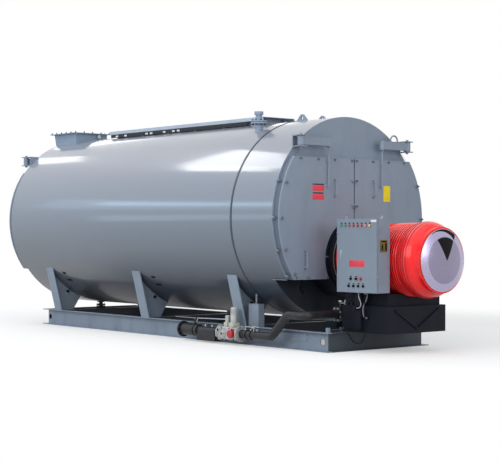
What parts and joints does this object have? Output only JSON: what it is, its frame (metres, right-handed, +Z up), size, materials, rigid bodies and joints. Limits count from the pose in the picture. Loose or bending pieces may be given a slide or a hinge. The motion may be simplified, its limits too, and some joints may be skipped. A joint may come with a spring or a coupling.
{
  "type": "industrial boiler",
  "caption": "Horizontal fire tube steam boiler on a channel skid, with a front burner, davit hung smokebox doors, a gas train and a control cabinet.",
  "frame": {"origin": "on the floor under the middle of the whole object", "axes": "X to the right seen from the burner end, +Y along the boiler from the burner to the rear doors, Z up"},
  "size_m": [2.7106, 8.505, 3.1727],
  "materials": {
    "black_steel": "satin",
    "brushed_cover": "brushed",
    "burner_red": "gloss",
    "cabinet_paint": "textured",
    "cable_grey": "satin",
    "cable_white": "satin",
    "cap_red": "gloss",
    "cast_alloy": "cast",
    "cladding": "gloss",
    "door_paint": "semi gloss",
    "flue_paint": "semi gloss",
    "gas_black": "painted",
    "lever_steel": "plated",
    "plate_paint": "satin",
    "skid_paint": "semi gloss",
    "strap_steel": "satin"
  },
  "bodies": {
    "boiler": {"blowdown_nozzle": "flue_paint", "burner_barrel": "burner_red", "burner_base": "black_steel", "burner_dished_cover": "brushed_cover", "burner_front_ring": "burner_red", "burner_gas_riser": "gas_black", "burner_throat": "black_steel", "cabinet_flexible_conduit": "cable_grey", "cabinet_loop_cable": "cable_grey", "cabinet_white_cable": "cable_white", "cladding_seam_strap": "strap_steel", "control_cabinet": "cabinet_paint", "flue_outlet": "flue_paint", "front_end_plate": "door_paint", "front_left_davit_bracket": "door_paint", "front_right_davit_bracket": "door_paint", "front_smokebox_frame": "door_paint", "front_tube_plate": "plate_paint", "gas_butterfly_valve": "gas_black", "gas_filter": "gas_black", "gas_inlet_valve": "gas_black", "gas_pipe": "gas_black", "gas_regulator_cap": "cap_red", "gas_valve_block": "cast_alloy", "junction_box": "cabinet_paint", "left_front_leg": "skid_paint", "left_lifting_lug": "flue_paint", "left_middle_leg": "skid_paint", "left_rear_leg": "skid_paint", "rear_end_plate": "door_paint", "rear_left_davit_bracket": "door_paint", "rear_lower_plate": "plate_paint", "rear_right_davit_bracket": "door_paint", "rear_smokebox_frame": "door_paint", "rear_tube_plate": "plate_paint", "right_front_leg": "skid_paint", "right_lifting_lug": "flue_paint", "right_middle_leg": "skid_paint", "right_rear_leg": "skid_paint", "shell_cladding": "cladding", "shoulder_nozzle": "flue_paint", "skid_burner_cross_beam": "skid_paint", "skid_front_beam": "skid_paint", "skid_front_leg_cross_beam": "skid_paint", "skid_left_beam": "skid_paint", "skid_middle_leg_cross_beam": "skid_paint", "skid_rear_beam": "skid_paint", "skid_rear_leg_cross_beam": "skid_paint", "skid_right_beam": "skid_paint", "top_walkway": "flue_paint"},
    "front_left_arm": {"front_left_davit_arm": "door_paint"},
    "front_left_leaf": {"front_left_door": "door_paint"},
    "front_right_arm": {"front_right_davit_arm": "door_paint"},
    "front_right_leaf": {"front_right_door": "door_paint"},
    "rear_left_arm": {"rear_left_davit_arm": "door_paint"},
    "rear_left_leaf": {"rear_left_door": "door_paint"},
    "rear_right_arm": {"rear_right_davit_arm": "door_paint"},
    "rear_right_leaf": {"rear_right_door": "door_paint"},
    "cabinet_leaf": {"control_cabinet_door": "cabinet_paint"},
    "gas_lever": {"gas_inlet_lever": "lever_steel"}
  },
  "joints": [
    {"name": "front_left_davit_swing", "type": "hinge", "parent": "boiler", "child": "front_left_arm", "pos_m": [-0.985, -2.6475, 2.695], "axis": [0, 0, -1], "range_deg": [0, 45]},
    {"name": "front_left_door_swivel", "type": "hinge", "parent": "front_left_arm", "child": "front_left_leaf", "pos_m": [-0.495, -2.6475, 2.695], "axis": [0, 0, -1], "range_deg": [-45, 0]},
    {"name": "front_right_davit_swing", "type": "hinge", "parent": "boiler", "child": "front_right_arm", "pos_m": [0.985, -2.6475, 2.695], "axis": [0, 0, 1], "range_deg": [0, 90]},
    {"name": "front_right_door_swivel", "type": "hinge", "parent": "front_right_arm", "child": "front_right_leaf", "pos_m": [0.495, -2.6475, 2.695], "axis": [0, 0, 1], "range_deg": [-90, 0]},
    {"name": "rear_left_davit_swing", "type": "hinge", "parent": "boiler", "child": "rear_left_arm", "pos_m": [-0.985, 4.2025, 2.695], "axis": [0, 0, 1], "range_deg": [0, 90]},
    {"name": "rear_left_door_swivel", "type": "hinge", "parent": "rear_left_arm", "child": "rear_left_leaf", "pos_m": [-0.495, 4.2025, 2.695], "axis": [0, 0, 1], "range_deg": [-90, 0]},
    {"name": "rear_right_davit_swing", "type": "hinge", "parent": "boiler", "child": "rear_right_arm", "pos_m": [0.985, 4.2025, 2.695], "axis": [0, 0, -1], "range_deg": [0, 90]},
    {"name": "rear_right_door_swivel", "type": "hinge", "parent": "rear_right_arm", "child": "rear_right_leaf", "pos_m": [0.495, 4.2025, 2.695], "axis": [0, 0, -1], "range_deg": [-90, 0]},
    {"name": "cabinet_door_hinge", "type": "hinge", "parent": "boiler", "child": "cabinet_leaf", "pos_m": [-0.717, -3.7595, 1.2], "axis": [0, 0, 1], "range_deg": [0, 110]},
    {"name": "gas_inlet_lever_turn", "type": "hinge", "parent": "boiler", "child": "gas_lever", "pos_m": [-1.09, -0.5775, 0.318], "axis": [0, 0, 1], "range_deg": [0, 90]}
  ],
  "couplings": [
    {"joint": "front_left_door_swivel", "follows": "front_left_davit_swing", "ratio": -1},
    {"joint": "front_right_door_swivel", "follows": "front_right_davit_swing", "ratio": -1},
    {"joint": "rear_left_door_swivel", "follows": "rear_left_davit_swing", "ratio": -1},
    {"joint": "rear_right_door_swivel", "follows": "rear_right_davit_swing", "ratio": -1}
  ]
}
